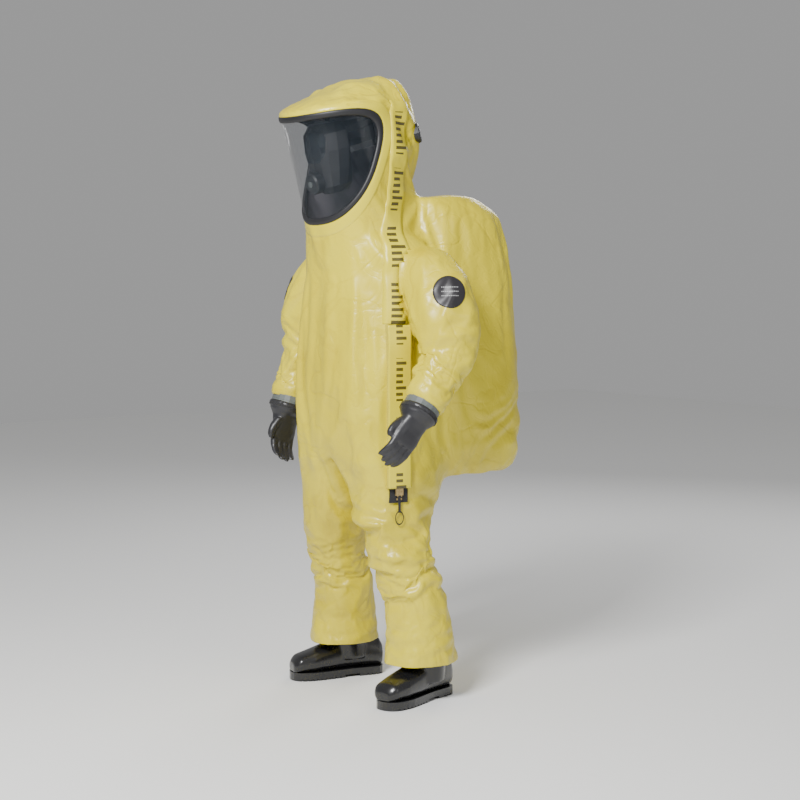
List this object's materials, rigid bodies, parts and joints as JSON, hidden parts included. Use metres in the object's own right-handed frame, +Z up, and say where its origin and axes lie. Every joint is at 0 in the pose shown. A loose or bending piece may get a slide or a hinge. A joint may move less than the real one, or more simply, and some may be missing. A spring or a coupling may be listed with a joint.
{
  "type": "chemical protective suit",
  "caption": "Hooded gas-tight chemical protective suit with back hump, wrap-round visor, covered side zip, gloves and boots.",
  "frame": {"origin": "centre of the whole suit's bounding box, on the floor under the soles", "axes": "+X to the wearer's left, +Y to the wearer's back, +Z up; the visor faces -Y"},
  "size_m": [0.859, 0.8064, 1.8989],
  "materials": {
    "laminate": "semi-gloss coated laminate",
    "visor": "clear polished sheet",
    "gasket": "matt moulded rubber",
    "glove_rubber": "satin dipped rubber",
    "boot_rubber": "glossy moulded rubber",
    "ring_plastic": "moulded, matt",
    "valve_plastic": "moulded, satin",
    "zip_metal": "cast zip elements, satin",
    "zip_tape": "proofed tape, matt",
    "touch_tape": "woven hook-and-loop tape",
    "badge": "printed round patch",
    "strap": "woven webbing"
  },
  "bodies": {
    "suit": {"torso_shell": "laminate", "hood_shell": "laminate", "backpack_shell": "laminate", "visor_lens": "visor", "visor_gasket": "gasket", "zip_tape": "zip_tape", "zip_chain": "zip_metal", "flap_hem_strip": "laminate", "flap_loop_tape": "touch_tape", "shoulder_flap": "laminate", "hood_flap": "laminate", "visor_surround": "laminate", "mask_body": "gasket", "mask_lens": "visor", "mask_harness": "strap", "mask_hanger": "strap", "demand_valve": "valve_plastic", "hood_valve_seat": "valve_plastic", "pack_valve_seat": "valve_plastic", "hood_valve_cap": "valve_plastic", "pack_valve_cap": "valve_plastic", "left_leg": "laminate", "right_leg": "laminate", "left_boot": "boot_rubber", "right_boot": "boot_rubber", "left_boot_sole": "boot_rubber", "right_boot_sole": "boot_rubber", "left_boot_ring": "ring_plastic", "right_boot_ring": "ring_plastic"},
    "zip_slider_body": {"zip_slider": "zip_metal", "zip_pull": "strap"},
    "flap": {"outer_flap": "laminate", "flap_hook_tape": "touch_tape"},
    "hood_valve_plate": {"hood_valve_disc": "gasket"},
    "pack_valve_plate": {"pack_valve_disc": "gasket"},
    "demand_valve_button": {"demand_button": "ring_plastic"},
    "left_upper_arm": {"left_sleeve_upper": "laminate", "left_arm_badge": "badge"},
    "left_forearm": {"left_sleeve_lower": "laminate", "left_cuff_ring": "ring_plastic"},
    "left_hand": {"left_glove": "glove_rubber", "left_glove_ring": "ring_plastic", "left_glove_clamp": "strap"},
    "right_upper_arm": {"right_sleeve_upper": "laminate", "right_arm_badge": "badge"},
    "right_forearm": {"right_sleeve_lower": "laminate", "right_cuff_ring": "ring_plastic"},
    "right_hand": {"right_glove": "glove_rubber", "right_glove_ring": "ring_plastic", "right_glove_clamp": "strap"}
  },
  "joints": [
    {"name": "left_shoulder_raise", "type": "hinge", "parent": "suit", "child": "left_upper_arm", "pos_m": [0.205, -0.07658, 1.397], "axis": [0, -1, 0], "range_deg": [0, 30]},
    {"name": "right_shoulder_raise", "type": "hinge", "parent": "suit", "child": "right_upper_arm", "pos_m": [-0.205, -0.08458, 1.397], "axis": [0, 1, 0], "range_deg": [0, 30]},
    {"name": "left_elbow_bend", "type": "hinge", "parent": "left_upper_arm", "child": "left_forearm", "pos_m": [0.344, -0.06058, 1.072], "axis": [-1, 0, 0], "range_deg": [-25, 40]},
    {"name": "right_elbow_bend", "type": "hinge", "parent": "right_upper_arm", "child": "right_forearm", "pos_m": [-0.344, -0.11258, 1.078], "axis": [-1, 0, 0], "range_deg": [-15, 50]},
    {"name": "left_glove_twist", "type": "hinge", "parent": "left_forearm", "child": "left_hand", "pos_m": [0.356, -0.18058, 0.916], "axis": [0.0609, -0.6086, -0.7912], "range_deg": [-10, 20]},
    {"name": "right_glove_twist", "type": "hinge", "parent": "right_forearm", "child": "right_hand", "pos_m": [-0.352, -0.17658, 0.892], "axis": [-0.0406, -0.3251, -0.9448], "range_deg": [-20, 10]},
    {"name": "flap_hinge", "type": "hinge", "parent": "suit", "child": "flap", "pos_m": [0.24779, -0.13781, 0.8875], "axis": [0, 0, 1], "range_deg": [0, 35]},
    {"name": "zip_slide", "type": "slide", "parent": "suit", "child": "zip_slider_body", "axis": [0, 0, 1], "range_m": [0, 0.455]},
    {"name": "hood_valve_lift", "type": "slide", "parent": "suit", "child": "hood_valve_plate", "axis": [0.6476, 0.7306, 0.2164], "range_m": [0, 0.002], "stiffness_N_per_m": 60, "springref_m": -0.002},
    {"name": "pack_valve_lift", "type": "slide", "parent": "suit", "child": "pack_valve_plate", "axis": [-0.4947, 0.868, 0.0434], "range_m": [0, 0.002], "stiffness_N_per_m": 60, "springref_m": -0.002},
    {"name": "demand_button_press", "type": "slide", "parent": "suit", "child": "demand_valve_button", "axis": [0, 0.9588, 0.284], "range_m": [0, 0.0025], "stiffness_N_per_m": 300, "springref_m": -0.001}
  ]
}
